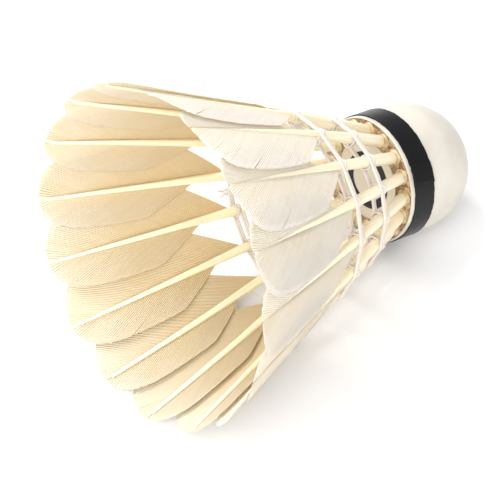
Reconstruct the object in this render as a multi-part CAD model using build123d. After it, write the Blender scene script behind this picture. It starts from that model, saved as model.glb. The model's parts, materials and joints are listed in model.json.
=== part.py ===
"""A feather shuttlecock, lying on its side at rest.

Every piece is drawn in the flight frame: its Z axis is the shuttlecock's own axis, +Z points to the
cork's nose, and Z = 0 is the flat end of the cork, where the sixteen quills go in. Its X axis is the side
that comes to lie underneath. place() then tips the finished pieces over until the cork and the skirt's
rim both touch the ground, which gives the frame that the part is written in: +Z up, +X towards the nose,
with the origin on the ground under the middle of the shuttlecock.
"""

from build123d import *
import math
import os

# Driving dimensions, in millimetres and degrees.
FEATHERS = 16  # feathers in the skirt
BASE_RADIUS = 13.0  # cork base over its leather
BASE_STRAIGHT = 9.4  # straight side of the base, from the flat end to the dome
LEATHER = 0.4  # thickness of the leather cover
QUILL_CIRCLE = 10.6  # radius of the ring of quill centres at the flat end
FEATHER_LENGTH = 60.5  # free length of a feather, from the flat end to its tip
TIP_CIRCLE = 34.0  # radius of the quill line carried on to the feather's tip
SOCKET_DEPTH = 7.8  # length of quill inside the cork

RIBBON_START = 0.8  # from the flat end to the ribbon
RIBBON_WIDTH = 5.0
RIBBON_THICKNESS = 0.2
RIBBON_LAP = 14.0  # angle over which the ribbon's end lies on its beginning
RIBBON_RAMP = 5.0  # angle over which the upper layer climbs
RIBBON_LAP_AT = 245.5  # where the ribbon's free end is

ROOT_RADIUS = 1.05  # quill at the bottom of its socket
SEAT_RADIUS = 1.25  # quill at the flat end
VANE_RADIUS = 1.0  # quill where the vane begins
QUILL_TIP_RADIUS = 0.42
QUILL_SHORT = 1.2  # the vane's tip runs this far past the quill's

VANE_START = 22.0  # from the flat end to the vane, along the quill
VANE_THICKNESS = 0.25
VANE_LIFT = 0.35  # the vane joins the quill this far outside its middle
LAP_SLOPE = 0.085  # how fast a vane rises towards its wide side, to lie over the next feather
SHEET_WIDTHS = (-9.0, 1.5, 12.0)  # both edges and the middle of the sheet that a vane is cut from

LASHING_WIDTH = 1.2  # two turns of thread side by side, set flat in glue
LASHING_THICKNESS = 0.6
LASHING_CLEARANCE = 0.03
FRONT_LASHING = 9.8  # from the flat end to the first lashing, along the axis
REAR_LASHING = 19.4  # and to the second
KNOT_RADIUS = 0.7
KNOT_TAIL = 2.6  # length of the knot's two cut ends
KNOT_TAIL_RADIUS = 0.21
KNOT_TAIL_OUT, KNOT_TAIL_DOWN, KNOT_TAIL_LEANS = 0.55, 0.7, (-0.5, 0.35)  # the way they point
KNOT_GAP = 2  # the gap between quills that holds the knots

GLUE_WIDTH = 0.45  # glue bead on the flat end, beyond the quill
GLUE_HEIGHT = 0.9
LABEL_RADIUS = 8.3
LABEL_THICKNESS = 0.12
NAIL_HEAD_RADIUS = 2.4
NAIL_HEAD = 0.5
NAIL_RADIUS = 0.9
NAIL_LENGTH = 7.0
NAIL_POINT = 1.0

OVERRUN = 1.0  # how far a cutting shape runs past what it cuts
CUT_HEIGHT = 5.0  # half the height of the block that trims a vane
BITE = 0.02  # how far the glue's thin edge starts inside the quill that it is cut by
BIG = 60.0  # size of a cutting block
TILTS = (5.0, 30.0)  # the rest tilt is between these
TILT_STEPS = 24  # halvings of that range

# Worked out from those.
PITCH = 360.0 / FEATHERS
FLARE = math.degrees(math.asin((TIP_CIRCLE - QUILL_CIRCLE) / FEATHER_LENGTH))
SIN_FLARE = math.sin(math.radians(FLARE))
COS_FLARE = math.cos(math.radians(FLARE))
CORK_RADIUS = BASE_RADIUS - LEATHER
QUILL_END = FEATHER_LENGTH - QUILL_SHORT


def polar(radius, angle, z=0.0):
    """A point at a radius and an angle in degrees about the flight axis."""
    turn = math.radians(angle)
    return Vector(radius * math.cos(turn), radius * math.sin(turn), z)


def feather_angle(number):
    """Feathers 0 and 15 lie either side of the ground line, so that the skirt rests on two tips."""
    return (number + 0.5) * PITCH


def quill_radius(along):
    """The quill's radius at a distance along it from the flat end."""
    if along < 0:
        return SEAT_RADIUS + (SEAT_RADIUS - ROOT_RADIUS) * along / SOCKET_DEPTH
    if along < VANE_START:
        return SEAT_RADIUS + (VANE_RADIUS - SEAT_RADIUS) * along / VANE_START
    share = (along - VANE_START) / (QUILL_END - VANE_START)
    return VANE_RADIUS + (QUILL_TIP_RADIUS - VANE_RADIUS) * share


def quill_circle(depth):
    """Radius of the ring of quill centres at a distance along the axis from the flat end."""
    return QUILL_CIRCLE + depth * SIN_FLARE / COS_FLARE


def turned(points):
    """A solid of revolution about Z, from its outline's (radius, z) points."""
    outline = Polyline(*[(radius, 0, z) for radius, z in points], close=True)
    return revolve(make_face(outline), Axis.Z)


def quill_frame():
    """Origin on the quill at the flat end, X along it to the tip, Z straight out of the skirt."""
    along = (SIN_FLARE, 0, -COS_FLARE)
    outwards = (COS_FLARE, 0, SIN_FLARE)
    return Plane(origin=(QUILL_CIRCLE, 0, 0), x_dir=along, z_dir=outwards)


def about_quill(shape):
    """Moves a shape drawn round Z, with Z along the quill, on to the quill."""
    along = (SIN_FLARE, 0, -COS_FLARE)
    frame = Plane(origin=(QUILL_CIRCLE, 0, 0), x_dir=(COS_FLARE, 0, SIN_FLARE), z_dir=along)
    return frame.location * shape


def make_quill():
    """The shaft: a stout root in the cork, then a long taper to the tip."""
    stations = [-SOCKET_DEPTH, 0.0, VANE_START, QUILL_END]
    side = [(quill_radius(along), along) for along in stations]
    return about_quill(turned([(0, -SOCKET_DEPTH), *side, (0, QUILL_END)]))


def sheet_section(along):
    """The skirt's curved sheet, cut across the flight axis at one feather."""
    radius = QUILL_CIRCLE + along * SIN_FLARE + VANE_LIFT

    def point(width, lift):
        angle = math.degrees(width / radius)
        return polar(radius + LAP_SLOPE * width + lift, angle, -along * COS_FLARE)

    half = VANE_THICKNESS / 2
    outer = ThreePointArc(*[point(width, half) for width in SHEET_WIDTHS])
    inner = ThreePointArc(*[point(width, -half) for width in SHEET_WIDTHS])
    ends = [Line(outer @ 0, inner @ 0), Line(outer @ 1, inner @ 1)]
    return make_face([outer, inner, *ends])


def vane_outline():
    """The vane laid flat: X along the quill, +Y towards the wide side."""
    wide = Spline((30.5, 7.2), (39.0, 8.9), (49.5, 9.9), (56.2, 8.9), (59.4, 5.2), (FEATHER_LENGTH, 0))
    narrow = Spline(
        (FEATHER_LENGTH, 0), (59.7, -3.7), (56.2, -6.3), (47.5, -6.9), (38.0, -6.2), (31.5, -5.0)
    )
    lower = Polyline(narrow @ 1, (28.0, -0.7), (VANE_START, 0.7), wide @ 0)
    return make_face([wide, narrow, lower])


def make_vane(quill):
    """Both webs of one feather: the skirt's sheet, trimmed to the outline and slotted for the quill."""
    ends = (VANE_START - OVERRUN, FEATHER_LENGTH + OVERRUN)
    sheet = loft([sheet_section(along) for along in ends], ruled=True)
    trimmer = extrude(quill_frame().location * vane_outline(), amount=CUT_HEIGHT, both=True)
    return (sheet & trimmer) - quill


def domed(radius, start):
    """A solid of the base's outline: straight from start to the dome's foot, then half a ball."""
    turn = math.sqrt(0.5)
    top = BASE_STRAIGHT + radius
    arc = ThreePointArc(
        (radius, 0, BASE_STRAIGHT), (radius * turn, 0, BASE_STRAIGHT + radius * turn), (0, 0, top)
    )
    outline = [Line((0, 0, top), (0, 0, start)), Line((0, 0, start), (radius, 0, start)), arc]
    if start < BASE_STRAIGHT:
        outline.append(Line((radius, 0, start), (radius, 0, BASE_STRAIGHT)))
    return revolve(make_face(outline), Axis.Z)


def make_leather():
    """The cover: a straight skirt and a dome, open at the flat end."""
    return domed(BASE_RADIUS, 0) - domed(CORK_RADIUS, 0)


def make_cork_nose():
    """Solid natural cork under the dome."""
    return domed(CORK_RADIUS, BASE_STRAIGHT)


def make_nail():
    """The ballast nail, driven flush into the flat end."""
    head = [(0, 0), (NAIL_HEAD_RADIUS, 0), (NAIL_HEAD_RADIUS, NAIL_HEAD), (NAIL_RADIUS, NAIL_HEAD)]
    shank = [(NAIL_RADIUS, NAIL_LENGTH - NAIL_POINT), (0, NAIL_LENGTH)]
    return turned(head + shank)


def make_cork_core(quill, nail):
    """The drum of pressed cork that holds the quills, with a socket for each and the nail's hole."""
    drum = Pos(0, 0, BASE_STRAIGHT / 2) * Cylinder(CORK_RADIUS, BASE_STRAIGHT)
    sockets = [Rot(0, 0, feather_angle(number)) * quill for number in range(FEATHERS)]
    return drum - sockets - nail


def make_ribbon():
    """The ribbon round the base, one strip whose end lies on its own beginning."""
    first = BASE_RADIUS + RIBBON_THICKNESS
    second = first + RIBBON_THICKNESS
    height = RIBBON_START + RIBBON_WIDTH / 2
    hoop = Cylinder(first, RIBBON_WIDTH) - Cylinder(BASE_RADIUS, RIBBON_WIDTH)
    end = RIBBON_LAP_AT
    climb = end - RIBBON_LAP
    start = climb - RIBBON_RAMP
    under = BASE_RADIUS + RIBBON_THICKNESS / 2
    tongue = [
        Line(polar(under, start), polar(first, start)),
        Line(polar(first, start), polar(second, climb)),
        ThreePointArc(polar(second, climb), polar(second, (climb + end) / 2), polar(second, end)),
        Line(polar(second, end), polar(under, end)),
        ThreePointArc(polar(under, end), polar(under, (start + end) / 2), polar(under, start)),
    ]
    lap = extrude(Pos(0, 0, -RIBBON_WIDTH / 2) * make_face(tongue), amount=RIBBON_WIDTH)
    return Pos(0, 0, height) * (hoop + lap)


def make_glue(quill):
    """A bead of glue round each quill, on the flat end."""
    wall = SEAT_RADIUS + GLUE_WIDTH
    foot = [(0, -OVERRUN), (wall, -OVERRUN), (wall, 0)]
    cone = turned([*foot, (SEAT_RADIUS - BITE, GLUE_HEIGHT), (0, GLUE_HEIGHT)])
    bead = (about_quill(cone) & Pos(0, 0, -BIG / 2) * Box(BIG, BIG, BIG)) - quill
    return Compound([Rot(0, 0, feather_angle(number)) * bead for number in range(FEATHERS)])


def lashing_reach(depth):
    """How far a lashing's middle is from the middles of the quills, across the flight axis."""
    quill = quill_radius(depth / COS_FLARE)
    return (quill + LASHING_THICKNESS / 2 + LASHING_CLEARANCE) / COS_FLARE


def lashing_section(centre, angle, tangent):
    """The flattened section of a lashing, lying along the quills."""
    along = polar(SIN_FLARE, angle, -COS_FLARE)
    plane = Plane(origin=centre, x_dir=along, z_dir=tangent)
    return plane * Ellipse(LASHING_WIDTH / 2, LASHING_THICKNESS / 2)


def make_outer_lashing(depth):
    """The run of thread outside the quills: straight from one to the next, and bent round each."""
    circle = quill_circle(depth)
    reach = lashing_reach(depth)
    half = PITCH / 2

    def bend(number):
        """Where the thread meets a quill, rides over it and leaves it."""
        angle = feather_angle(number)
        return [polar(circle, angle, -depth) + polar(reach, angle + turn) for turn in (-half, 0, half)]

    middle = (bend(0)[2] + bend(1)[0]) * 0.5
    path = [Line(middle, bend(1)[0])]
    for number in range(1, FEATHERS):
        path += [ThreePointArc(*bend(number)), Line(bend(number)[2], bend(number + 1)[0])]
    path += [ThreePointArc(*bend(FEATHERS)), Line(bend(FEATHERS)[2], middle)]
    route = Wire(path)
    return sweep(lashing_section(middle, PITCH, route % 0), path=route)


def make_inner_lashing(depth):
    """The run of thread inside the quills, a plain ring."""
    centre = Vector(quill_circle(depth) - lashing_reach(depth), 0, -depth)
    return revolve(lashing_section(centre, 0, (0, 1, 0)), Axis.Z)


def make_knot(depth):
    """The knot that ends a lashing, with its two cut tails, on the outside of the outer run."""
    angle = feather_angle(KNOT_GAP) + PITCH / 2
    run = quill_circle(depth) * math.cos(math.radians(PITCH / 2)) + lashing_reach(depth)
    surface = run + LASHING_THICKNESS / 2 / COS_FLARE
    centre = polar(surface + KNOT_RADIUS + LASHING_CLEARANCE, angle, -depth)
    knot = Pos(centre) * Sphere(KNOT_RADIUS)
    for lean in KNOT_TAIL_LEANS:
        aim = polar(KNOT_TAIL_OUT, angle, -KNOT_TAIL_DOWN) + polar(lean, angle + 90)
        tail = Cylinder(KNOT_TAIL_RADIUS, KNOT_TAIL, align=(Align.CENTER, Align.CENTER, Align.MIN))
        knot += Plane(origin=centre, z_dir=aim).location * tail
    return knot


def make_pieces():
    """Every piece in the flight frame, by node name."""
    quill = make_quill()
    vane = make_vane(quill)
    nail = make_nail()
    pieces = {
        "leather_cover": make_leather(),
        "cork_nose": make_cork_nose(),
        "cork_core": make_cork_core(quill, nail),
        "ribbon_band": make_ribbon(),
        "ballast_nail": nail,
        "inner_label": Pos(0, 0, -LABEL_THICKNESS / 2) * Cylinder(LABEL_RADIUS, LABEL_THICKNESS),
        "socket_glue": make_glue(quill),
    }
    for name, depth in (("front", FRONT_LASHING), ("rear", REAR_LASHING)):
        pieces[f"{name}_lashing_thread_a"] = make_outer_lashing(depth)
        pieces[f"{name}_lashing_thread_b"] = make_inner_lashing(depth)
        pieces[f"{name}_lashing_knot"] = make_knot(depth)
    for number in range(FEATHERS):
        turn = Rot(0, 0, feather_angle(number))
        pieces[f"quill_{number + 1:02d}"] = turn * quill
        pieces[f"vane_{number + 1:02d}"] = turn * vane
    return pieces


def tipped(piece, tilt):
    """A piece turned over on to its side, with the nose tilt degrees below level."""
    return Rot(0, 90 + tilt, 0) * piece


def rest_tilt(pieces):
    """The tilt at which the cork and the lowest feathers stand at one height."""
    low, high = TILTS
    rim = [pieces["vane_01"], pieces[f"vane_{FEATHERS:02d}"]]
    for _ in range(TILT_STEPS):
        tilt = (low + high) / 2
        cork_foot = tipped(pieces["leather_cover"], tilt).bounding_box().min.Z
        rim_foot = min(tipped(vane, tilt).bounding_box().min.Z for vane in rim)
        if cork_foot > rim_foot:
            low = tilt
        else:
            high = tilt
    return tilt


def place(pieces):
    """The pieces at rest on the ground, with the origin under the middle of the whole."""
    tilt = rest_tilt(pieces)
    lying = {name: tipped(piece, tilt) for name, piece in pieces.items()}
    boxes = [piece.bounding_box() for piece in lying.values()]
    middle = (min(box.min.X for box in boxes) + max(box.max.X for box in boxes)) / 2
    ground = min(box.min.Z for box in boxes)
    print(f"rest tilt {tilt:.3f}, middle of the flat end at x {-middle:.3f}, z {-ground:.3f}")
    return {name: Pos(-middle, 0, -ground) * piece for name, piece in lying.items()}


if __name__ == "__main__":
    os.makedirs("parts", exist_ok=True)
    for name, piece in place(make_pieces()).items():
        export_step(piece, f"parts/{name}.step")
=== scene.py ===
import json
import math

import bpy
import numpy as np
from mathutils import Matrix, Vector


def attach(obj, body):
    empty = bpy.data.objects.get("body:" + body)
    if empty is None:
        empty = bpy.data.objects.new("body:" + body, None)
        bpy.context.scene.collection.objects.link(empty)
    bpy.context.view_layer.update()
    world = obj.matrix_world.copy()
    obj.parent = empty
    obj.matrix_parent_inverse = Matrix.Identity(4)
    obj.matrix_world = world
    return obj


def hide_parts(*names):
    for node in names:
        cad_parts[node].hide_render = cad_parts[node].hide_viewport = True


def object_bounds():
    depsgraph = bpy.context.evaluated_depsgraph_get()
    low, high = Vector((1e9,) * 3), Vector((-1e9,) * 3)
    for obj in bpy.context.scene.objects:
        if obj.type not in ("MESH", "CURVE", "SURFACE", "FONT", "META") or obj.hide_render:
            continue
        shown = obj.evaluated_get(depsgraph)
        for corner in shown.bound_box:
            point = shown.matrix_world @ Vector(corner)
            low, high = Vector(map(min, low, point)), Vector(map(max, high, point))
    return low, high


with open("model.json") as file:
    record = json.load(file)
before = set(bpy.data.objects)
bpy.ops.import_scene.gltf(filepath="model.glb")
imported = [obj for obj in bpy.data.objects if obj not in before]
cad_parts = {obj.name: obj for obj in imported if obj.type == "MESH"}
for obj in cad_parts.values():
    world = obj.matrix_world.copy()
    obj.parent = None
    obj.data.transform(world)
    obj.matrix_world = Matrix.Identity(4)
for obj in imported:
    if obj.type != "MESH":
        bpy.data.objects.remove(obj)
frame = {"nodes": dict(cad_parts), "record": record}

cad_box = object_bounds()

# ---------------------------------------------------------------------------------------------------------
# The flight frame. Pieces are drawn in it, in millimetres: its origin is the middle of the cork's flat end,
# z runs along the shuttlecock's axis to the nose, and x points to the side that lies underneath.
# ---------------------------------------------------------------------------------------------------------
MM = 0.001
BAND_MIDDLE = 3.3  # from the flat end to the middle of the ribbon, where the mount is
band_mount = next(mount for mount in frame["record"]["mounts"] if mount["name"] == "base_band")
NOSE = np.array(band_mount["axis"]) / np.linalg.norm(band_mount["axis"])
SIDE = np.array([0.0, 1.0, 0.0])
UNDER = np.cross(SIDE, NOSE)
FLAT_END = np.array(band_mount["pos_m"]) - NOSE * BAND_MIDDLE * MM
TO_ROW = np.stack([UNDER, SIDE, NOSE])

# Sizes, in millimetres and degrees, as in the CAD.
FEATHERS = 16
PITCH = 2 * math.pi / FEATHERS
RIBBON_THICKNESS = 0.2
RIBBON_START = 0.8
RIBBON_WIDTH = band_mount["dims"]["length_mm"]
BASE_RADIUS = band_mount["dims"]["r_mm"] - RIBBON_THICKNESS
BASE_STRAIGHT = 9.4
LEATHER = 0.4
QUILL_CIRCLE = 10.6
FEATHER_LENGTH = 60.5
TIP_CIRCLE = 34.0
SOCKET_DEPTH = 7.8
SHAFT_END = FEATHER_LENGTH - 1.2
VANE_START = 22.0
VANE_LIFT = 0.35
LAP_SLOPE = 0.085
ROOT_RADIUS, SEAT_RADIUS, VANE_RADIUS = 1.05, 1.25, 1.0
RIBBON_LAP_AT = 245.5  # degrees round the flight axis, at the end that shows
RIBBON_LAP = 14.0
RIBBON_RAMP = 5.0
LASHINGS = {"front": 9.8, "rear": 19.4}
LASHING_WIDTH = 1.2
LASHING_THICKNESS = 0.6
LABEL_RADIUS = 8.3
LABEL_THICKNESS = 0.12
KNOT_GAP = 2  # the knots are between this feather and the next

ANY_PHASE = (0, 6.3)  # a random start for a wave

# Seeds. A feather's or a lashing's own number is added to its seed.
LEATHER_SEEDS = (11, 12)
WEB_SWELL_SEED = 40
FEATHER_SEED = 100
QUILL_SEED = 200
BEAD_SEED = 500
LASHING_SEED = 700
KNOT_SEED = 800
WEB_SEED = 1000

SIN_FLARE = (TIP_CIRCLE - QUILL_CIRCLE) / FEATHER_LENGTH
COS_FLARE = math.sqrt(1 - SIN_FLARE**2)


def to_row(points):
    """Points in the flight frame, in millimetres, as points in the row frame, in metres."""
    return FLAT_END + np.asarray(points) @ TO_ROW * MM


def polar(radius, angle, z):
    """Points from a radius, an angle in radians and a height, which may be arrays."""
    radius, angle, z = np.broadcast_arrays(radius, angle, z)
    return np.stack([radius * np.cos(angle), radius * np.sin(angle), z], axis=-1)


def feather_turn(number):
    """Where a feather is round the flight axis, in radians."""
    return (number + 0.5) * PITCH


def ease(share):
    """0 to 1, level at both ends."""
    share = np.clip(share, 0, 1)
    return share * share * (3 - 2 * share)


def ripple(points, wavelength, seed, count=9):
    """Smooth seeded noise from about -1 to 1: a sum of plane waves through the points."""
    rng = np.random.default_rng(seed)
    ways = rng.normal(size=(count, points.shape[-1]))
    ways *= 2 * math.pi / wavelength / np.linalg.norm(ways, axis=1, keepdims=True)
    ways *= rng.uniform(0.6, 1.5, (count, 1))
    return np.sin(points @ ways.T + rng.uniform(*ANY_PHASE, count)).mean(axis=-1) * 1.8


# ---------------------------------------------------------------------------------------------------------
# Meshes.
# ---------------------------------------------------------------------------------------------------------
def grid_faces(rows, columns, closed=False):
    """Quads over the wall of a tube: rows of points round it, and its last row met to its first if closed."""
    row = np.arange(rows if closed else rows - 1)[:, None]
    column = np.arange(columns)[None, :]
    near, far, beside = row * columns, (row + 1) % rows * columns, (column + 1) % columns
    corners = (near + column, near + beside, far + beside, far + column)
    return np.stack(corners, axis=-1).reshape(-1, 4).tolist()


def capped(rows, columns):
    """The faces of an open tube: its wall, and a face over each end."""
    first = list(range(columns))[::-1]
    last = [(rows - 1) * columns + column for column in range(columns)]
    return grid_faces(rows, columns) + [first, last]


def joined(chunks):
    """Several (points, faces, grain) as one."""
    points, faces, grain, count = [], [], [], 0
    for some_points, some_faces, some_grain in chunks:
        points.append(some_points.reshape(-1, 3))
        grain.append(some_grain.reshape(-1, 3))
        faces += [[corner + count for corner in face] for face in some_faces]
        count += len(points[-1])
    return np.concatenate(points), faces, np.concatenate(grain)


def make_piece(name, chunk, material, stands_for):
    """A piece from flight-frame points and faces. Its grain, three numbers a point, guides its material."""
    points, faces, grain = chunk
    mesh = bpy.data.meshes.new(name)
    mesh.from_pydata(to_row(points.reshape(-1, 3)).tolist(), [], faces)
    mesh.validate()
    mesh.attributes.new("grain", "FLOAT_VECTOR", "POINT").data.foreach_set("vector", grain.ravel())
    mesh.materials.append(material)
    mesh.shade_smooth()
    piece = bpy.data.objects.new(name, mesh)
    bpy.context.scene.collection.objects.link(piece)
    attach(piece, "root")
    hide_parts(*stands_for)


def steady_normals(path, closed=False):
    """Two unit normals at each point of a path, which don't twist along it."""
    if closed:
        tangent = np.roll(path, -1, axis=0) - np.roll(path, 1, axis=0)
    else:
        tangent = np.gradient(path, axis=0)
    tangent /= np.linalg.norm(tangent, axis=1, keepdims=True)
    normal = np.zeros_like(path)
    start = np.cross(tangent[0], [0.0, 0.0, 1.0])
    if np.linalg.norm(start) < 0.1:  # the path starts almost along z
        start = np.cross(tangent[0], [0.0, 1.0, 0.0])
    for i, way in enumerate(tangent):
        start = start - way * (start @ way)
        start /= np.linalg.norm(start)
        normal[i] = start
    return normal, np.cross(tangent, normal)


YARN_VALLEY, YARN_PLY = 0.84, 0.2  # of a yarn's radius: between its plies, and how far they stand out


def tube(path, radius, sides=8, closed=False, plies=0, twist=0.0):
    """A tube along a path. With plies it is a yarn, whose section has as many lobes and turns along it."""
    normal, binormal = steady_normals(path, closed)
    steps = np.linalg.norm(np.diff(path, axis=0), axis=1)
    run = np.concatenate([[0], np.cumsum(steps)])
    around = np.linspace(0, 2 * math.pi, sides, endpoint=False)
    radius = np.broadcast_to(np.asarray(radius, float), (len(path),))
    if closed:  # the last turn of the twist meets the first
        whole = run[-1] + np.linalg.norm(path[0] - path[-1])
        twist = round(twist * whole) / whole if twist else 0.0
    section = np.ones((len(path), sides))
    if plies:
        phase = plies / 2 * (around[None, :] - 2 * math.pi * twist * run[:, None])
        section = YARN_VALLEY + YARN_PLY * np.abs(np.sin(phase))
    reach = radius[:, None] * section
    points = path[:, None] + normal[:, None] * (reach * np.cos(around))[..., None]
    points = points + binormal[:, None] * (reach * np.sin(around))[..., None]
    faces = grid_faces(len(path), sides, closed=True) if closed else capped(len(path), sides)
    grain = np.stack(np.broadcast_arrays(run[:, None], around[None, :], radius[:, None]), axis=-1)
    return points, faces, grain


# ---------------------------------------------------------------------------------------------------------
# Materials.
# ---------------------------------------------------------------------------------------------------------
WHITE = (1.0, 1.0, 1.0)


class Paint:
    """A material under construction, with short names for the nodes that it uses."""

    def __init__(self, name, **plain):
        """Plain are values for the surface's own sockets, with _ for the spaces in their names."""
        self.material = bpy.data.materials.new(name)
        self.material.use_nodes = True
        self.tree = self.material.node_tree
        self.tree.nodes.clear()
        self.output = self.node("OutputMaterial")
        self.surface = self.node("BsdfPrincipled")
        for socket, value in plain.items():
            self.surface.inputs[socket.replace("_", " ")].default_value = value
        self.link(self.surface.outputs[0], self.output.inputs[0])

    def node(self, kind, **settings):
        made = self.tree.nodes.new("ShaderNode" + kind)
        for key, value in settings.items():
            setattr(made, key, value)
        return made

    def link(self, start, end):
        self.tree.links.new(start, end)

    def place(self):
        """The point's place in the row frame, in metres."""
        return self.node("TexCoord").outputs["Object"]

    def depth(self):
        """How far a point is from the flat end towards the tips, along the flight axis: 0 to 1."""
        share = self.node("VectorMath", operation="DOT_PRODUCT")
        share.inputs[1].default_value = -NOSE / (FEATHER_LENGTH * COS_FLARE * MM)
        from_flat_end = self.node("VectorMath", operation="SUBTRACT")
        from_flat_end.inputs[1].default_value = FLAT_END
        self.link(self.place(), from_flat_end.inputs[0])
        self.link(from_flat_end.outputs[0], share.inputs[0])
        return share.outputs["Value"]

    def grain(self, scale=(1, 1, 1)):
        """The mesh's own grain, stretched."""
        reader = self.node("Attribute", attribute_name="grain")
        stretch = self.node("VectorMath", operation="MULTIPLY")
        stretch.inputs[1].default_value = scale
        self.link(reader.outputs["Vector"], stretch.inputs[0])
        return stretch.outputs[0]

    def part_of(self, vector, axis):
        split = self.node("SeparateXYZ")
        self.link(vector, split.inputs[0])
        return split.outputs[axis]

    def noise(self, vector, scale, detail=3.0, roughness=0.5):
        made = self.node("TexNoise")
        made.inputs["Scale"].default_value = scale
        made.inputs["Detail"].default_value = detail
        made.inputs["Roughness"].default_value = roughness
        self.link(vector, made.inputs["Vector"])
        return made.outputs["Fac"]

    def cells(self, vector, scale, feature="F1", output="Distance"):
        made = self.node("TexVoronoi", feature=feature)
        made.inputs["Scale"].default_value = scale
        self.link(vector, made.inputs["Vector"])
        return made.outputs[output]

    def ramp(self, value, *stops):
        """Colours or greys at places from 0 to 1."""
        made = self.node("ValToRGB")
        points = made.color_ramp.elements
        while len(points) < len(stops):
            points.new(0.5)
        for point, (place, shade) in zip(points, stops):
            point.position = place
            point.color = (*shade, 1) if isinstance(shade, tuple) else (shade, shade, shade, 1)
        self.link(value, made.inputs[0])
        return made.outputs[0]

    def mix(self, share, first, second, blend="MIX"):
        """Two colours mixed. Share is a number or a socket, and so is each colour."""
        made = self.node("Mix", data_type="RGBA", blend_type=blend)
        ins = (made.inputs[0], made.inputs[6], made.inputs[7])
        for socket, value in zip(ins, (share, first, second)):
            if isinstance(value, bpy.types.NodeSocket):
                self.link(value, socket)
            else:
                socket.default_value = (*value, 1) if isinstance(value, tuple) else value
        return made.outputs[2]

    def shaded(self, tone, share, value, *stops):
        """A colour multiplied, in part, by a ramp."""
        return self.mix(share, tone, self.ramp(value, *stops), "MULTIPLY")

    def sum_of(self, first, second, share=1.0):
        """first + share x second."""
        made = self.node("Math", operation="MULTIPLY_ADD")
        made.inputs[1].default_value = share
        self.link(second, made.inputs[0])
        self.link(first, made.inputs[2])
        return made.outputs[0]

    def colour(self, socket):
        self.link(socket, self.surface.inputs["Base Color"])

    def rough(self, value, low, high):
        self.link(self.ramp(value, (0, low), (1, high)), self.surface.inputs["Roughness"])

    def bump(self, height, depth):
        """Relief of a depth in millimetres."""
        made = self.node("Bump")
        made.inputs["Strength"].default_value = 1.0
        made.inputs["Distance"].default_value = depth * MM
        self.link(height, made.inputs["Height"])
        self.link(made.outputs[0], self.surface.inputs["Normal"])
        return made.outputs[0]

    def see_through(self, colour, share, normal):
        """Lets light through from behind, as thin pale sheets do."""
        behind = self.node("BsdfTranslucent")
        both = self.node("MixShader")
        both.inputs[0].default_value = share
        self.link(colour, behind.inputs["Color"])
        self.link(normal, behind.inputs["Normal"])
        self.link(self.surface.outputs[0], both.inputs[1])
        self.link(behind.outputs[0], both.inputs[2])
        self.link(both.outputs[0], self.output.inputs[0])


def vane_material():
    """Barbs: ivory, creamier by the shaft and whiter at the trimmed edge, with painted shade on their faces
    inside the skirt: tan, browner towards the vane's foot.
    """
    paint = Paint("feather_vane", Roughness=0.6, Sheen_Weight=0.2, Sheen_Roughness=0.4)
    grain = paint.grain()
    reach, inner = paint.part_of(grain, 0), paint.part_of(grain, 2)
    tone = paint.ramp(
        reach, (0, (0.95, 0.905, 0.775)), (0.14, (0.96, 0.94, 0.87)), (0.5, (0.965, 0.95, 0.905)),
        (0.95, (0.975, 0.968, 0.94)))
    # Painted shade: the faces inside the skirt are tinted tan, and browner towards the vane's foot, deeper in
    # the skirt.
    inside = paint.ramp(
        paint.depth(), (VANE_START / FEATHER_LENGTH, (0.80, 0.66, 0.43)), (0.72, (0.88, 0.775, 0.58)),
        (1.0, (0.955, 0.91, 0.815)))
    inner_shaded_tone = paint.mix(1.0, tone, inside, "MULTIPLY")
    tone = paint.mix(paint.ramp(inner, (0.5, 0.0), (0.56, 1.0)), tone, inner_shaded_tone)
    streak = paint.noise(paint.grain((0.8, 0.55, 0.0)), 1.0, detail=4)
    tone = paint.shaded(tone, 0.6, streak, (0.3, (0.93, 0.90, 0.82)), (0.62, WHITE))
    patch = paint.noise(paint.place(), 120, detail=2)
    tone = paint.shaded(tone, 0.7, patch, (0.35, (1.0, 0.975, 0.91)), (0.6, WHITE))
    paint.colour(tone)
    hairs = paint.noise(paint.grain((1.0, 5.0, 0.0)), 2.2, detail=2)
    normal = paint.bump(hairs, 0.02)
    paint.see_through(paint.mix(1.0, tone, (1.0, 0.93, 0.78), "MULTIPLY"), 0.32, normal)
    return paint.material


def quill_material():
    """Horny shaft: pale yellow and a little clear at the root, whiter towards the tip."""
    paint = Paint("feather_quill", Roughness=0.34, Coat_Weight=0.25, Coat_Roughness=0.2,
                  Subsurface_Weight=0.25, Subsurface_Radius=(1.0, 0.7, 0.35), Subsurface_Scale=0.8 * MM)
    along = paint.part_of(paint.grain((1 / FEATHER_LENGTH, 1, 1)), 0)
    tone = paint.ramp(
        along, (0, (0.86, 0.77, 0.56)), (0.2, (0.90, 0.835, 0.66)), (0.36, (0.90, 0.815, 0.58)),
        (0.75, (0.94, 0.87, 0.68)), (1.0, (0.95, 0.92, 0.82)))
    streak = paint.noise(paint.grain((0.08, 3.0, 1.0)), 1.6, detail=5)
    paint.colour(paint.shaded(tone, 0.7, streak, (0.3, (0.87, 0.82, 0.70)), (0.62, WHITE)))
    paint.rough(streak, 0.28, 0.5)
    paint.bump(streak, 0.04)
    return paint.material


def leather_material():
    """Fine white kid: soft grain, faint creases and handling marks."""
    paint = Paint("base_leather", Roughness=0.5)
    place = paint.place()
    smudge = paint.noise(place, 110, detail=4)
    tone = paint.ramp(
        smudge, (0.3, (0.57, 0.535, 0.465)), (0.55, (0.63, 0.59, 0.52)), (0.8, (0.665, 0.63, 0.56)))
    pores = paint.cells(place, 4200)
    paint.colour(paint.shaded(tone, 0.35, pores, (0.0, 0.86), (0.35, 1.0)))
    paint.rough(smudge, 0.62, 0.44)
    creases = paint.noise(place, 900, detail=5, roughness=0.65)
    paint.bump(paint.sum_of(creases, pores, 0.4), 0.045)
    return paint.material


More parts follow.
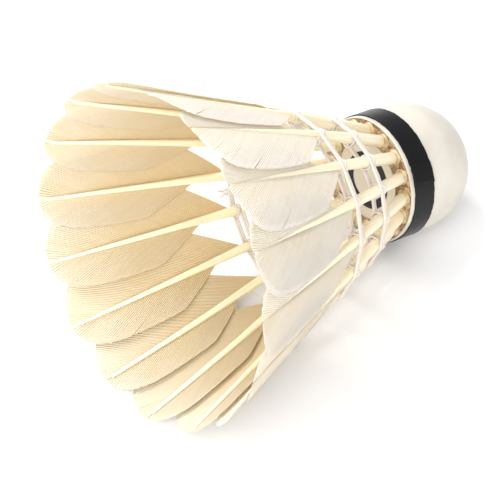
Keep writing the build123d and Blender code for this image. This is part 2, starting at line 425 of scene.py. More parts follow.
def ribbon_material():
    """Black satin: fine cross threads under long shiny ones."""
    paint = Paint("satin_ribbon", Roughness=0.4, Specular_IOR_Level=0.19, Sheen_Weight=0.03,
                  Sheen_Roughness=0.35, Sheen_Tint=(0.66, 0.66, 0.75, 1))
    long_threads = paint.noise(paint.grain((0.35, 9.0, 1.0)), 1.0, detail=2)
    cross_threads = paint.node("TexWave", wave_type="BANDS", bands_direction="X")
    cross_threads.inputs["Scale"].default_value = 1.0
    cross_threads.inputs["Distortion"].default_value = 0.6
    paint.link(paint.grain((1.6, 1.0, 1.0)), cross_threads.inputs["Vector"])
    paint.colour(paint.ramp(long_threads, (0.3, (0.0022, 0.0022, 0.0026)), (0.7, (0.0062, 0.0062, 0.0074))))
    paint.rough(long_threads, 0.26, 0.42)
    paint.bump(paint.sum_of(long_threads, cross_threads.outputs["Fac"], 0.25), 0.02)
    return paint.material


def thread_material():
    """Twisted thread, stiff with dried glue."""
    paint = Paint("lashing_thread", Roughness=0.5, Coat_Weight=0.3, Coat_Roughness=0.3)
    fibres = paint.noise(paint.grain((1.2, 2.0, 1.0)), 3.0, detail=4)
    paint.colour(paint.ramp(fibres, (0.3, (0.62, 0.53, 0.45)), (0.6, (0.80, 0.725, 0.65))))
    paint.rough(fibres, 0.62, 0.38)
    paint.bump(fibres, 0.06)
    return paint.material


def glue_material():
    """Amber glue, dried clear and cloudy."""
    paint = Paint("dried_glue", Roughness=0.22, Subsurface_Weight=0.4, Subsurface_Radius=(1.0, 0.6, 0.3),
                  Subsurface_Scale=0.6 * MM)
    clouds = paint.noise(paint.place(), 900, detail=3)
    paint.colour(paint.ramp(clouds, (0.3, (0.46, 0.32, 0.15)), (0.7, (0.74, 0.61, 0.38))))
    paint.rough(clouds, 0.16, 0.34)
    paint.bump(clouds, 0.05)
    return paint.material


def pressed_cork_material():
    """Granules of cork pressed together, each its own brown, with dark gaps."""
    paint = Paint("pressed_cork", Roughness=0.85)
    place = paint.place()
    granules = 800
    chip = paint.part_of(paint.cells(place, granules, output="Color"), 0)
    edge = paint.cells(place, granules, feature="DISTANCE_TO_EDGE")
    tone = paint.ramp(
        chip, (0.0, (0.22, 0.12, 0.05)), (0.45, (0.38, 0.235, 0.115)), (1.0, (0.56, 0.39, 0.22)))
    tone = paint.shaded(tone, 0.9, edge, (0.0, 0.35), (0.09, 1.0))
    pits = paint.noise(place, 3800, detail=3)
    paint.colour(paint.shaded(tone, 0.6, pits, (0.32, 0.55), (0.5, 1.0)))
    paint.rough(pits, 0.95, 0.75)
    paint.bump(paint.sum_of(pits, edge, 2.0), 0.12)
    return paint.material


def natural_cork_material():
    """Solid bark cork with growth lines and lenticels."""
    paint = Paint("natural_cork", Roughness=0.8)
    place = paint.place()
    grown = paint.noise(place, 420, detail=5)
    paint.colour(paint.ramp(
        grown, (0.25, (0.36, 0.21, 0.10)), (0.5, (0.62, 0.44, 0.25)), (0.75, (0.72, 0.54, 0.34))))
    paint.bump(paint.noise(place, 3000, detail=3), 0.1)
    return paint.material


def paper_material():
    """Pale paper with a broad dark ring and no words."""
    paint = Paint("label_paper", Roughness=0.8)
    fibres = paint.noise(paint.place(), 2600, detail=5)
    ink = paint.ramp(fibres, (0.3, (0.008, 0.010, 0.012)), (0.7, (0.022, 0.026, 0.030)))
    from_middle = paint.part_of(paint.grain((1 / LABEL_RADIUS, 1, 1)), 0)
    ring = paint.ramp(from_middle, (0.0, 0.0), (0.50, 0.0), (0.52, 1.0), (0.71, 1.0), (0.73, 0.0))
    paint.colour(paint.mix(ring, (0.62, 0.56, 0.44), ink))
    paint.bump(fibres, 0.03)
    return paint.material


def steel_material():
    """Plain drawn steel, a little marked."""
    paint = Paint("nail_steel", Metallic=1.0, Roughness=0.4)
    marks = paint.noise(paint.place(), 1500, detail=4)
    paint.colour(paint.ramp(marks, (0.3, (0.40, 0.39, 0.38)), (0.7, (0.62, 0.61, 0.60))))
    paint.rough(marks, 0.3, 0.55)
    paint.bump(marks, 0.02)
    return paint.material


# ---------------------------------------------------------------------------------------------------------
# The base: leather, ribbon, cork, label and glue.
# ---------------------------------------------------------------------------------------------------------
LEATHER_SWELL, LEATHER_PUCKER = 0.045, 0.014  # how uneven it is, broadly and finely
LEATHER_INSET = 0.02  # keeps its swells within the base's size
RIBBON_SLANT = math.radians(1.5)  # of its cut end
RIBBON_SLANT_FROM = 0.9  # share of its length
RIBBON_CURL = 0.13  # how far its cut end stands off
RIBBON_CURL_FROM = 0.982
SELVEDGE_AT, SELVEDGE_SPREAD = 0.965, 0.03  # shares of the half width
SELVEDGE_HEIGHT = 0.022
RIBBON_SINK, RIBBON_STAND = 0.01, 0.012  # its outside below its size, and its inside above the leather
EDGE_WAVE, SWELL = 0.010, 0.012  # of the ribbon's outside
RIBBON_WANDER = (0.035, 0.02)  # of both its edges along the axis, slow and quick
LABEL_BULGE, LABEL_BULGE_REACH = 0.14, 2.6  # over the nail's head
LABEL_CURL = 0.05
LABEL_WAVES = (0.05, 0.03)  # broad and fine, at its edge
LABEL_STAND = 0.01  # off the cork
BEAD_SINK = 0.25  # of the glue beads, into the cork
BEAD_SPREAD, BEAD_CLIMB = 0.42, 0.85  # over the cork and up the quill
BEAD_WITHIN = 0.2  # the beads' inner wall is this far inside the quill


def dome(radius, angles):
    """Points (radius, z) of the base's dome at angles up from its straight side."""
    return [(radius * math.cos(a), BASE_STRAIGHT + radius * math.sin(a)) for a in angles]


def leather_cover():
    """The cover as one closed shell: outside, rolled edge and inside, a little uneven as skin is."""
    inner = BASE_RADIUS - LEATHER
    edge = LEATHER / 2
    roll = np.linspace(0, math.pi, 9)
    rim = [(BASE_RADIUS - edge + edge * math.cos(a), edge - edge * math.sin(a)) for a in roll]
    outer_wall = [(BASE_RADIUS, z) for z in np.linspace(BASE_STRAIGHT, edge, 24, endpoint=False)]
    inner_wall = [(inner, z) for z in np.linspace(edge, BASE_STRAIGHT, 12)[1:]]
    quarter = np.linspace(0, math.pi / 2, 60, endpoint=False)
    outer_dome, inner_dome = dome(BASE_RADIUS, quarter[::-1]), dome(inner, quarter[1::2])
    profile = outer_dome[:-1] + outer_wall + rim + inner_wall + inner_dome
    around = np.linspace(0, 2 * math.pi, 240, endpoint=False)
    radius, z = np.array(profile).T
    points = polar(radius[:, None], around[None, :], z[:, None])
    # Away from the axis on the straight side, and from the ball's middle on the dome.
    out = points - np.array([0, 0, 1]) * np.minimum(z, BASE_STRAIGHT)[:, None, None]
    out /= np.linalg.norm(out, axis=-1, keepdims=True)
    outside = (np.arange(len(profile)) < len(outer_dome) + len(outer_wall))[:, None]
    flat = points.reshape(-1, 3)
    broad, fine = ripple(flat, 9.0, LEATHER_SEEDS[0]), ripple(flat, 2.6, LEATHER_SEEDS[1])
    uneven = LEATHER_SWELL * broad + LEATHER_PUCKER * fine
    uneven = uneven.reshape(points.shape[:2]) * outside
    points = points + out * (uneven - LEATHER_INSET)[..., None]
    grain = np.stack(np.broadcast_arrays(radius[:, None], around[None, :], z[:, None]), axis=-1)
    return points, capped(*points.shape[:2]), grain


def ribbon():
    """One strip that starts under its own end. Its edges are selvedges, and its cut end slants."""
    lap_end = math.radians(RIBBON_LAP_AT)
    under_start = lap_end - math.radians(RIBBON_LAP + 1.0)
    over_end = lap_end + 2 * math.pi
    climb = under_start + 2 * math.pi - math.radians(RIBBON_RAMP)
    across = np.linspace(-1, 1, 41)[None, :]
    share = np.linspace(0, 1, 720)[:, None]
    at_cut = ease((share - RIBBON_SLANT_FROM) / (1 - RIBBON_SLANT_FROM))
    slant = RIBBON_SLANT * across * (2 * share - 1) * at_cut
    angle = under_start + share * (over_end - under_start) + slant
    lift = RIBBON_THICKNESS * ease((angle - climb) / math.radians(RIBBON_RAMP))
    lift = lift + RIBBON_CURL * ease((share - RIBBON_CURL_FROM) / (1 - RIBBON_CURL_FROM))
    # The weave's slight play: edges that wander, a selvedge along each, and a low swell down the middle.
    selvedge = SELVEDGE_HEIGHT * np.exp(-(((np.abs(across) - SELVEDGE_AT) / SELVEDGE_SPREAD) ** 2))
    edge_wave = EDGE_WAVE * np.sin(angle * 61) * np.abs(across) ** 6
    swell = SWELL * np.sin(angle * 9) * (1 - across**2)
    wander = RIBBON_WANDER[0] * np.sin(angle * 23 + 1.0) + RIBBON_WANDER[1] * np.sin(angle * 57)
    height = RIBBON_START + RIBBON_WIDTH / 2 * (1 + across) + wander
    outside = BASE_RADIUS + RIBBON_THICKNESS + lift + edge_wave + selvedge + swell - RIBBON_SINK
    inside = BASE_RADIUS + RIBBON_STAND + lift
    over = polar(outside, angle, height)
    below = polar(inside, angle, height)[:, ::-1]
    points = np.concatenate([over, below], axis=1)
    run = angle * BASE_RADIUS
    side = np.concatenate([across, across[:, ::-1]], axis=1) * RIBBON_WIDTH / 2
    runs = np.concatenate([run, run[:, ::-1]], axis=1)
    grain = np.stack(np.broadcast_arrays(runs, side, 0.0), axis=-1)
    return points, capped(*points.shape[:2]), grain


def label():
    """The paper disc on the flat end, lifted a little over the nail's head and at its edge."""
    around = np.linspace(0, 2 * math.pi, 96, endpoint=False)
    rings = np.linspace(0.02, 1, 26) * LABEL_RADIUS
    front, back = [], []
    for ring in rings:
        edge = ring / LABEL_RADIUS
        broad = LABEL_WAVES[0] * np.sin(3 * around + 0.6) * edge**4
        wave = broad + LABEL_WAVES[1] * np.sin(7 * around) * edge**6 + LABEL_CURL * edge**6
        bulge = LABEL_BULGE * math.exp(-((ring / LABEL_BULGE_REACH) ** 4))
        front.append(polar(ring, around, -LABEL_THICKNESS - bulge - wave))
        back.append(polar(ring, around, -LABEL_STAND - bulge * 0.8 - wave))
    points = np.stack(front + back[::-1])
    sizes = np.concatenate([rings, rings[::-1]])
    grain = np.stack(np.broadcast_arrays(sizes[:, None], around[None, :], 0.0), axis=-1)
    return points, capped(*points.shape[:2]), grain


def glue_bead(number):
    """A bead of glue that has crept up a quill's foot and out over the cork."""
    rng = np.random.default_rng(BEAD_SEED + number)
    around = np.linspace(0, 2 * math.pi, 40, endpoint=False)

    def wave(turns, height):
        return height * np.sin(turns * around + rng.uniform(*ANY_PHASE))

    spread = BEAD_SPREAD + wave(1, 0.12) + wave(3, 0.06)
    climb = BEAD_CLIMB + wave(1, 0.2) + wave(4, 0.08)
    within = np.full_like(around, SEAT_RADIUS - BEAD_WITHIN)
    rows = [np.stack([within, np.full_like(around, BEAD_SINK)], axis=-1)]
    for share in np.linspace(0, 1, 12):
        offset = SEAT_RADIUS + spread * (1 - share) ** 2.4
        rows.append(np.stack([offset, -climb * (1 - (1 - share) ** 1.2)], axis=-1))
    rows.append(np.stack([within, -climb], axis=-1))
    shape = np.stack(rows)
    offset, depth = shape[..., 0], shape[..., 1]
    quill_x = QUILL_CIRCLE - depth * SIN_FLARE / COS_FLARE
    x = quill_x + offset * np.cos(around)[None, :] / COS_FLARE
    y = offset * np.sin(around)[None, :]
    points = turned(np.stack([x, y, depth], axis=-1), feather_turn(number))
    grain = np.stack(np.broadcast_arrays(offset, around[None, :], depth), axis=-1)
    return points, capped(*points.shape[:2]), grain


def turned(points, turn):
    """Points turned about the flight axis."""
    c, s = math.cos(turn), math.sin(turn)
    return points @ np.array([[c, s, 0], [-s, c, 0], [0, 0, 1]])


# ---------------------------------------------------------------------------------------------------------
# Feathers.
# ---------------------------------------------------------------------------------------------------------
BARB_SPACING = 0.34  # between neighbouring barbs, across them
BARB_OVERLAP = 0.22  # of each barb over the next, as a share of that
BARB_POINTS = 10
BARB_RIDGE, BARB_KEEL = 0.032, 0.03  # height outside, and how much deeper it is inside
BARB_EDGE_LIFTS = (-0.015, 0.02)  # of its two edges, so that each barb laps the next
BARB_TIP = 0.98  # of its width
BARB_REACH = 13.0  # length of the longest
BARB_STEP = 0.08  # along a barb, while its line is drawn
SPLIT_PLACE = (0.08, 0.92)  # along the web
SPLIT_WIDTH = (0.2, 0.7)
SPLIT_SPREAD = (3, 9)  # how many barbs lean away from a split
SPLIT_OPENS = (0.35, 0.8)  # from here along the barbs to the edge
BARB_BEND, BARB_BEND_LENGTH = 0.22, 7.0  # share of its lean that a barb loses, and how soon
BARB_SAG, BARB_WAVE = 0.018, 0.03  # how far barbs stray towards their neighbours at the edge
BARB_TRIM = 0.006  # how far the trimmed edge strays, as a share of a barb
BARB_LIFT, WEB_SWELL = 0.006, 0.02  # how far single barbs and the whole web stray from the skirt's cone
BOW, SWAY, TWIST = (0.15, 0.5), (-0.35, 0.35), (-0.018, 0.012)  # of single feathers
CAMBER = 0.0032
GROOVE_DEPTH, GROOVE_SPREAD = 0.34, 0.38  # down the quill's inner face: share of its radius, and radians
SQUARENESS = 0.05
SCAR_HEIGHT, SCAR_SPREAD, SCARS_FROM = 0.05, 0.16, 9
QUILL_SWELL = 0.03
BACK_FLAT = 0.3  # how much of its back the quill loses along the vane
TIP_CUT, TIP_SLANT = 1.5, 0.9
WISPS = 7
WISP_RADIUS = 0.055
WISP_LENGTH, WISP_LEAN = (2.0, 5.0), (45, 85)
WIDE, NARROW = 1, -1
WISPS_FROM, WISPS_TO = -1.6, {WIDE: 0.6, NARROW: 5.5}  # along the shaft from the vane's start
# For each web: where it starts, its half width at its foot and at its widest, where that is, how square its
# tip is, and how far its barbs lean, as a share of LEAN.
WEBS = {
    WIDE: {"start": VANE_START, "foot": 5.9, "most": 9.9, "at": 49.5, "tip": 3.4, "lean": 1.0},
    NARROW: {"start": 28.5, "foot": 4.1, "most": 6.9, "at": 47.5, "tip": 3.8, "lean": 0.82},
}
FOOT_END = 25.2  # where the trimmed edge starts to widen
LEAN_AT = (VANE_START, 28.0, 42.0, 54.0, SHAFT_END)
LEAN = (42.0, 42.0, 38.0, 26.0, 6.0)  # of the barbs from the shaft at those places
SHAFT_AT = (-SOCKET_DEPTH, 0.0, VANE_START, 35.0, 48.0, SHAFT_END)
SHAFT_RADIUS = (ROOT_RADIUS, SEAT_RADIUS, VANE_RADIUS, 0.66, 0.46, 0.28)


def quill_radius(along):
    """The shaft's radius at distances from the flat end."""
    return np.interp(along, SHAFT_AT, SHAFT_RADIUS)


def web_width(along, side):
    """The trimmed vane's half width on one side."""
    web = WEBS[side]
    rise = np.sin(math.pi / 2 * np.clip((along - FOOT_END) / (web["at"] - FOOT_END), 0, 1))
    body = web["foot"] + (web["most"] - web["foot"]) * rise
    to_tip = np.clip((along - web["at"]) / (FEATHER_LENGTH - web["at"]), 0, 1)
    return body * np.sqrt(1 - to_tip ** web["tip"])


class Feather:
    """What is particular to one feather: its place in the ring, and its slight bow, sway and twist."""

    def __init__(self, number):
        rng = np.random.default_rng(FEATHER_SEED + number)
        self.number = number
        self.rng = rng
        self.turn = feather_turn(number)
        self.bow = rng.uniform(*BOW)
        self.sway = rng.uniform(*SWAY)
        self.twist = rng.uniform(*TWIST)
        self.tone = rng.uniform(0, 1)

    def shift(self, along):
        """How far the shaft is from its straight line: outwards and sideways."""
        share = np.clip(along / FEATHER_LENGTH, 0, 1)
        return self.bow * np.sin(math.pi * share), self.sway * share**2

    def shaft_point(self, along, out, side):
        """A point of the shaft, from its place along the feather and away from the shaft's middle."""
        bow, sway = self.shift(along)
        out = out + bow
        x = QUILL_CIRCLE + along * SIN_FLARE + out * COS_FLARE
        z = -along * COS_FLARE + out * SIN_FLARE
        return turned(np.stack(np.broadcast_arrays(x, side + sway, z), axis=-1), self.turn)

    def web_point(self, along, across, lift):
        """A point of the vane: the skirt's cone, rising towards the wide side so that it laps the next."""
        bow, sway = self.shift(along)
        radius = QUILL_CIRCLE + along * SIN_FLARE + VANE_LIFT
        angle = self.turn + (across + sway) / radius
        beyond = ease((along - VANE_START) / 25)
        camber = -CAMBER * across**2 + self.twist * across * beyond
        return polar(radius + LAP_SLOPE * across + camber + lift + bow, angle, -along * COS_FLARE)


def quill(feather):
    """The shaft: a round tube at its root, then squarer, with a groove down its inner face."""
    root = np.linspace(-SOCKET_DEPTH, VANE_START, 34)
    shaft = np.linspace(VANE_START, SHAFT_END, 70)[1:]
    along = np.concatenate([root, shaft])[:, None]
    around = np.linspace(0, 2 * math.pi, 32, endpoint=False)[None, :]
    webbed = ease((along - VANE_START + 2) / 8)
    groove = GROOVE_DEPTH * webbed * np.exp(-(((around - math.pi) / GROOVE_SPREAD) ** 2))
    square = SQUARENESS * webbed * -np.cos(4 * around)
    # Low scars down both sides, where the barbs below the vane were stripped off.
    from_side = np.minimum(np.abs(around - math.pi / 2), np.abs(around - 1.5 * math.pi))
    stripped = ease((along - SCARS_FROM) / 4) * (1 - ease((along - VANE_START) / 2))
    scar = SCAR_HEIGHT * stripped * np.exp(-((from_side / SCAR_SPREAD) ** 2)) * (1 + 0.6 * np.sin(along * 9))
    radius = quill_radius(along) * (1 + square - groove) + scar
    flat = np.stack(np.broadcast_arrays(along, 3 * np.cos(around), 3 * np.sin(around)), axis=-1)
    uneven = ripple(flat.reshape(-1, 3), 14.0, QUILL_SEED + feather.number).reshape(radius.shape)
    radius = radius + QUILL_SWELL * uneven * ease((SHAFT_END - along) / 12)
    out, side = radius * np.cos(around), radius * np.sin(around)
    out = np.where(out > 0, out * (1 - BACK_FLAT * webbed), out)
    tip_slant = TIP_SLANT * ease((along - SHAFT_END + TIP_CUT) / TIP_CUT) * out
    points = feather.shaft_point(along + tip_slant, out, side)
    grain = np.stack(np.broadcast_arrays(along, around, feather.tone), axis=-1)
    return points, capped(*radius.shape), grain


def barb_lines(side):
    """The middle lines of one web's barbs, from the shaft to the trimmed edge: (along, across) each."""
    web = WEBS[side]
    run = np.arange(0, 40, BARB_STEP)
    index = np.arange(len(run))
    start, lines = web["start"], []
    while start < SHAFT_END:
        lean = math.radians(np.interp(start, LEAN_AT, LEAN)) * web["lean"]
        curved = lean * (1 - BARB_BEND * (1 - np.exp(-run / BARB_BEND_LENGTH)))
        along = start + np.cumsum(np.cos(curved)) * BARB_STEP
        across = np.cumsum(np.sin(curved)) * BARB_STEP
        inside = (across <= web_width(along, side)) & (along < FEATHER_LENGTH)
        last = int(np.argmin(inside))
        if last > 3:
            picks = np.linspace(0, last, BARB_POINTS)
            lines.append(np.stack([np.interp(picks, index, along), np.interp(picks, index, across)], axis=-1))
        start += BARB_SPACING / math.sin(lean)
    return np.stack(lines)


def web(feather, side, lines):
    """One web as its separate barbs, hooked edge to edge except where it has split."""
    rng = np.random.default_rng(WEB_SEED + 2 * feather.number + (side == WIDE))
    count = len(lines)
    gap = np.gradient(lines, axis=0)
    share = np.linspace(0, 1, BARB_POINTS)[None, :]
    length = np.linalg.norm(lines[:, -1] - lines[:, 0], axis=-1)[:, None]
    moved = lines.copy()
    index = np.arange(count)
    # Splits: the barbs on either side of one part from each other towards the edge.
    for _ in range(rng.integers(0, 3)):
        place = rng.uniform(*SPLIT_PLACE) * count
        width = rng.uniform(*SPLIT_WIDTH) * (0.6 if side == NARROW else 1.0)
        spread = rng.uniform(*SPLIT_SPREAD)
        opens = rng.uniform(*SPLIT_OPENS)
        push = np.sign(index - place) * width / 2 * np.exp(-np.abs(index - place) / spread)
        moved[..., 0] += push[:, None] * ease((share - opens) / (1 - opens))
    sag = rng.normal(0, BARB_SAG, count)[:, None] * share**2
    moved[..., 0] += sag + BARB_WAVE * np.sin(index * 1.7 + rng.uniform(*ANY_PHASE))[:, None] * share
    trim = 1 + rng.normal(0, BARB_TRIM, count)
    moved = moved[:, :1] + (moved - moved[:, :1]) * trim[:, None, None]
    half = np.full(BARB_POINTS, (1 + BARB_OVERLAP) / 2)
    half[-1] *= BARB_TIP
    edge_a = moved - gap * half[None, :, None]
    edge_b = moved + gap * half[None, :, None]
    ridge = BARB_RIDGE * (1 - 0.7 * share)
    swell = ripple(moved.reshape(-1, 2), 6.0, WEB_SWELL_SEED + feather.number).reshape(count, -1)
    lift = BARB_LIFT * rng.normal(0, 1, count)[:, None] * share**2 + WEB_SWELL * swell
    low_edge, high_edge = BARB_EDGE_LIFTS
    corners = ((edge_a, low_edge), (moved, ridge), (edge_b, high_edge), (moved, -ridge - BARB_KEEL))
    section = []
    for points, height in corners:
        across = side * (points[..., 1] + 0.25 * quill_radius(points[..., 0]))
        section.append(feather.web_point(points[..., 0], across, lift + height))
    points = np.stack(section, axis=2)
    wall = capped(BARB_POINTS, len(section))
    faces = []
    for barb in range(count):
        faces += [[corner + barb * BARB_POINTS * len(section) for corner in face] for face in wall]
    # The grain: how far out along the longest barb, which barb, and whether it faces into the skirt, where
    # the vane's material paints shade.
    far = (share * length)[..., None] / BARB_REACH
    order = index[:, None, None] * 0.7 + 40 * feather.tone
    inner = np.array([0.5, 0.0, 0.5, 1.0])
    grain = np.stack(np.broadcast_arrays(far, order, inner), axis=-1)
    return points.reshape(-1, 3), faces, grain.reshape(-1, 3)


def wisps(feather):
    """A few loose downy barbs left at the vane's foot."""
    rng = feather.rng
    share = np.linspace(0, 1, 12)
    chunks = []
    for _ in range(WISPS):
        side = rng.choice([NARROW, WIDE])
        start = VANE_START + rng.uniform(WISPS_FROM, WISPS_TO[side])
        length = rng.uniform(*WISP_LENGTH)
        lean = math.radians(rng.uniform(*WISP_LEAN))
        along = start + length * share * math.cos(lean) - 0.9 * rng.uniform(-0.4, 1.2) * share**2
        across = side * (0.6 + length * share * math.sin(lean))
        lift = rng.uniform(-0.3, 0.7) * share**2 + 0.12 * np.sin(share * 7 + rng.uniform(0, 6))
        path = feather.web_point(along, across, lift)
        points, faces, grain = tube(path, WISP_RADIUS * (1 - 0.75 * share), sides=5)
        grain[..., 0] = 0.8  # as pale as the barbs are near the trimmed edge
        chunks.append((points, faces, grain))
    return chunks


# ---------------------------------------------------------------------------------------------------------
# Lashings.
# ---------------------------------------------------------------------------------------------------------
STRAND_RADIUS = LASHING_WIDTH / 4
HITCH_RADIUS = 0.19
HITCH_TILT = 0.5
HITCH_SINK = 0.1  # how far a hitch is pressed into the runs that it binds
RUN_STEP = 0.22  # between points along a lashing
PLIES = 3
FILM_SIDES = 12
FILM_INSET = (0.06, 0.08)  # how far the film stays within the lashing's half width and half thickness
INNER_SAG = 0.1  # of the run inside the quills, between them
KNOT_SIZE = 0.26
KNOT_STAND = 0.65  # out from the lashing
TAIL_LEANS = (-0.6, 0.5)
TAIL_DROP, TAIL_SPREAD, TAIL_OUT = 1.9, 1.8, 0.7
FRAYED = 9  # stray fibres at each cut end
FIBRE_RADIUS = 0.035


def quill_circle(depth):
    """Radius of the ring of quill centres at a distance along the axis from the flat end."""
    return QUILL_CIRCLE + depth * SIN_FLARE / COS_FLARE


def lashing_reach(depth):
    """How far a lashing's middle is from the middles of the quills, across the flight axis."""
    return (quill_radius(depth / COS_FLARE) + LASHING_THICKNESS / 2) / COS_FLARE


def evenly(path):
    """A closed path again, with points about one step apart."""
    closed = np.concatenate([path, path[:1]])
    run = np.concatenate([[0], np.cumsum(np.linalg.norm(np.diff(closed, axis=0), axis=1))])
    places = np.linspace(0, run[-1], int(run[-1] / RUN_STEP), endpoint=False)
    return np.stack([np.interp(places, run, closed[:, axis]) for axis in range(3)], axis=-1)


def outer_run(depth):
    """Outside the quills: straight from one to the next, and bent round each."""
    path = []
    for number in range(FEATHERS):
        turn = feather_turn(number)
        middle = polar(quill_circle(depth), turn, -depth)
        for bend in np.linspace(-PITCH / 2, PITCH / 2, 7):
            path.append(middle + polar(lashing_reach(depth), turn + bend, 0))
    return evenly(np.array(path))


def inner_run(depth):
    """Inside the quills: a ring that sags a little between them."""
    around = np.linspace(0, 2 * math.pi, 480, endpoint=False)
    sag = INNER_SAG * (1 - np.cos(FEATHERS * (around - PITCH / 2)))
    return evenly(polar(quill_circle(depth) - lashing_reach(depth) - sag, around, -depth))


def beside(path, along, out):
    """A path shifted down the quills by along, and away from the skirt by out."""
    turn = np.arctan2(path[:, 1], path[:, 0])
    down = polar(SIN_FLARE, turn, -COS_FLARE)
    away = polar(COS_FLARE, turn, SIN_FLARE)
    return path + down * np.reshape(along, (-1, 1)) + away * np.reshape(out, (-1, 1))


def glue_film(path, half_width, half_thickness, seed):
    """A flat film of dried glue along a lashing, thicker and thinner."""
    uneven = 1 + 0.16 * ripple(path, 2.5, seed)
    loops = []
    for angle in np.linspace(0, 2 * math.pi, FILM_SIDES, endpoint=False):
        along, out = half_width * uneven * math.cos(angle), half_thickness * uneven * math.sin(angle)
        loops.append(beside(path, along, out))
    points = np.stack(loops, axis=1)
    run = np.arange(len(path))[:, None] * RUN_STEP
    grain = np.stack(np.broadcast_arrays(run, np.arange(FILM_SIDES)[None, :] * 0.5, 0.2), axis=-1)
    return points, grid_faces(len(path), FILM_SIDES, closed=True), grain


def hitch(number, depth, tilt):
    """One turn of thread round a quill, over both runs of the lashing."""
    around = np.linspace(0, 2 * math.pi, 56, endpoint=False)
    along = depth / COS_FLARE
    over_runs = (LASHING_THICKNESS - HITCH_SINK) * np.abs(np.cos(around)) ** 3
    reach = quill_radius(along) + HITCH_RADIUS + over_runs
    out, side = reach * np.cos(around), reach * np.sin(around)
    place = along + tilt * np.sin(around)
    x = QUILL_CIRCLE + place * SIN_FLARE + out * COS_FLARE
    z = -place * COS_FLARE + out * SIN_FLARE
    path = turned(np.stack([x, side, z], axis=-1), feather_turn(number))
    return tube(path, HITCH_RADIUS, sides=10, closed=True, plies=PLIES, twist=0.6)


def lashing(path, depth, tilt, seed):
    """Two turns of thread side by side, hitched round each quill, all stiff with glue."""
    half_width, half_thickness = LASHING_WIDTH / 2 - FILM_INSET[0], LASHING_THICKNESS / 2 - FILM_INSET[1]
    chunks = [glue_film(path, half_width, half_thickness, seed)]
    for side in (-1, 1):
        wander = 0.05 * ripple(path, 6.0, seed + side)
        strand = beside(path, side * STRAND_RADIUS + wander, 0.03 * ripple(path, 4.0, seed + 5 * side))
        thick = STRAND_RADIUS * (1 + 0.05 * ripple(path, 3.0, seed + 9))
        chunks.append(tube(strand, thick, sides=16, closed=True, plies=PLIES, twist=0.5))
    chunks += [hitch(number, depth, tilt) for number in range(FEATHERS)]
    return joined(chunks)


def knot(depth, seed):
    """A tight overhand knot with two cut, slightly frayed tails."""
    rng = np.random.default_rng(seed)
    turn = feather_turn(KNOT_GAP) + PITCH / 2
    run = quill_circle(depth) * math.cos(PITCH / 2) + lashing_reach(depth)
    middle = polar(run + LASHING_THICKNESS / 2 + KNOT_STAND, turn, -depth)
    out, forward = polar(1.0, turn, 0.0), polar(1.0, turn + math.pi / 2, 0.0)
    down = np.array([0.0, 0.0, -1.0])
    t = np.linspace(0.35, 2 * math.pi - 0.35, 90)[:, None]
    trefoil = (np.sin(t) + 2 * np.sin(2 * t)) * forward + (np.cos(t) - 2 * np.cos(2 * t)) * down
    path = middle + KNOT_SIZE * (trefoil - 1.3 * np.sin(3 * t) * out)
    ends = []
    share = np.linspace(0, 1, 16)[:, None]
    for end, lean in zip((path[0], path[-1]), TAIL_LEANS):
        way = down * TAIL_DROP + forward * lean * TAIL_SPREAD + out * TAIL_OUT
        ends.append(end + share * way - out * 0.5 * share**2)
    whole = np.concatenate([ends[0][::-1], path[1:-1], ends[1]])
    chunks = [tube(whole, STRAND_RADIUS * 0.85, sides=14, plies=PLIES, twist=0.55)]
    share = np.linspace(0, 1, 6)[:, None]
    for tail in ends:
        way = tail[-1] - tail[-3]
        way /= np.linalg.norm(way)
        for _ in range(FRAYED):
            stray = rng.normal(0, 0.32, 3)
            fibre = tail[-1] - way * 0.15 + share * (way * rng.uniform(0.5, 1.0) + stray * share)
            chunks.append(tube(fibre, FIBRE_RADIUS * (1 - 0.5 * share[:, 0]), sides=5))
    return joined(chunks)


# ---------------------------------------------------------------------------------------------------------
# Putting it together.
# ---------------------------------------------------------------------------------------------------------
leather, satin, thread, glue = leather_material(), ribbon_material(), thread_material(), glue_material()
horn, down = quill_material(), vane_material()

KEPT = {  # CAD nodes that stay as they are, and their materials
    "cork_core": pressed_cork_material(),
    "cork_nose": natural_cork_material(),
    "ballast_nail": steel_material(),
}
for node, material in KEPT.items():
    for slot in frame["nodes"][node].material_slots:
        slot.material = material

make_piece("leather_cap", leather_cover(), leather, ["leather_cover"])
make_piece("satin_band", ribbon(), satin, ["ribbon_band"])
make_piece("paper_disc", label(), paper_material(), ["inner_label"])
make_piece("glue_beads", joined([glue_bead(n) for n in range(FEATHERS)]), glue, ["socket_glue"])

webs = {side: barb_lines(side) for side in WEBS}
for number in range(FEATHERS):
    feather = Feather(number)
    tag = f"{number + 1:02d}"
    make_piece(f"shaft_{tag}", quill(feather), horn, [f"quill_{tag}"])
    barbs = joined([web(feather, side, lines) for side, lines in webs.items()] + wisps(feather))
    make_piece(f"barbs_{tag}", barbs, down, [f"vane_{tag}"])

for place, (name, depth) in enumerate(LASHINGS.items()):
    for letter, path, tilt in (("a", outer_run(depth), HITCH_TILT), ("b", inner_run(depth), -HITCH_TILT)):
        yarn = lashing(path, depth, tilt, LASHING_SEED + 10 * place + int(tilt > 0))
        make_piece(f"{name}_yarn_{letter}", yarn, thread, [f"{name}_lashing_thread_{letter}"])
    make_piece(f"{name}_knot", knot(depth, KNOT_SEED + place), thread, [f"{name}_lashing_knot"])

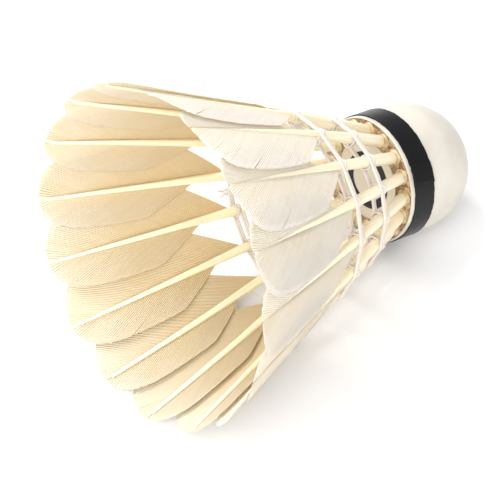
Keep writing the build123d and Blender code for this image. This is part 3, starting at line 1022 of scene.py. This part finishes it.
# ---------------------------------------------------------------------------------------------------------
# Floor, light and camera.
# ---------------------------------------------------------------------------------------------------------
FLOOR_HALF = 2.0
floor_mesh = bpy.data.meshes.new("floor")
corners = [(x * FLOOR_HALF, y * FLOOR_HALF, 0) for x, y in ((-1, -1), (1, -1), (1, 1), (-1, 1))]
floor_mesh.from_pydata(corners, [], [(0, 1, 2, 3)])
floor_paint = Paint("pale_floor", Roughness=0.75, Base_Color=(0.87, 0.87, 0.885, 1))
floor_mesh.materials.append(floor_paint.material)
floor = bpy.data.objects.new("floor", floor_mesh)
bpy.context.scene.collection.objects.link(floor)


def area_light(name, place, size, power, colour):
    """A square soft light that looks at the shuttlecock."""
    lamp = bpy.data.lights.new(name, "AREA")
    lamp.size = size
    lamp.energy = power
    lamp.color = colour
    holder = bpy.data.objects.new(name, lamp)
    bpy.context.scene.collection.objects.link(holder)
    holder.location = place
    holder.rotation_euler = (-Vector(place)).to_track_quat("-Z", "Y").to_euler()


area_light("key", place=(-0.10, 0.55, 0.75), size=0.6, power=8.8, colour=(1.0, 0.99, 0.97))
area_light("fill", place=(-0.55, -0.50, 0.62), size=1.0, power=10.0, colour=(1.0, 0.995, 0.985))

world = bpy.data.worlds.new("studio")
world.use_nodes = True
sky = world.node_tree.nodes["Background"]
sky.inputs["Color"].default_value = (0.99, 0.99, 1.0, 1)
sky.inputs["Strength"].default_value = 0.68
bpy.context.scene.world = world
bpy.context.scene.view_settings.view_transform = "Standard"

CAMERA_AZIMUTH, CAMERA_ELEVATION, CAMERA_ROLL = -31.9, 45.7, -9.8
CAMERA_DISTANCE = 0.62
CAMERA_LENS = 232.0
FRAMING = (-5.4, -14.8)  # from the middle of the box to the middle of the picture, in millimetres
low, high = (Vector(corner) for corner in cad_box)
azimuth, elevation = math.radians(CAMERA_AZIMUTH), math.radians(CAMERA_ELEVATION)
level_back = Vector((math.sin(azimuth), -math.cos(azimuth), 0)) * math.cos(elevation)
back = level_back + Vector((0, 0, math.sin(elevation)))
lens = bpy.data.cameras.new("camera")
lens.lens = CAMERA_LENS
camera = bpy.data.objects.new("camera", lens)
bpy.context.scene.collection.objects.link(camera)
aim = (low + high) / 2
upright = back.to_track_quat("Z", "Y").to_matrix().to_4x4()
facing = upright @ Matrix.Rotation(math.radians(CAMERA_ROLL), 4, "Z")
aim += facing @ Vector((*FRAMING, 0)) * MM
camera.location = aim + back * CAMERA_DISTANCE
camera.rotation_euler = facing.to_euler()
bpy.context.scene.camera = camera
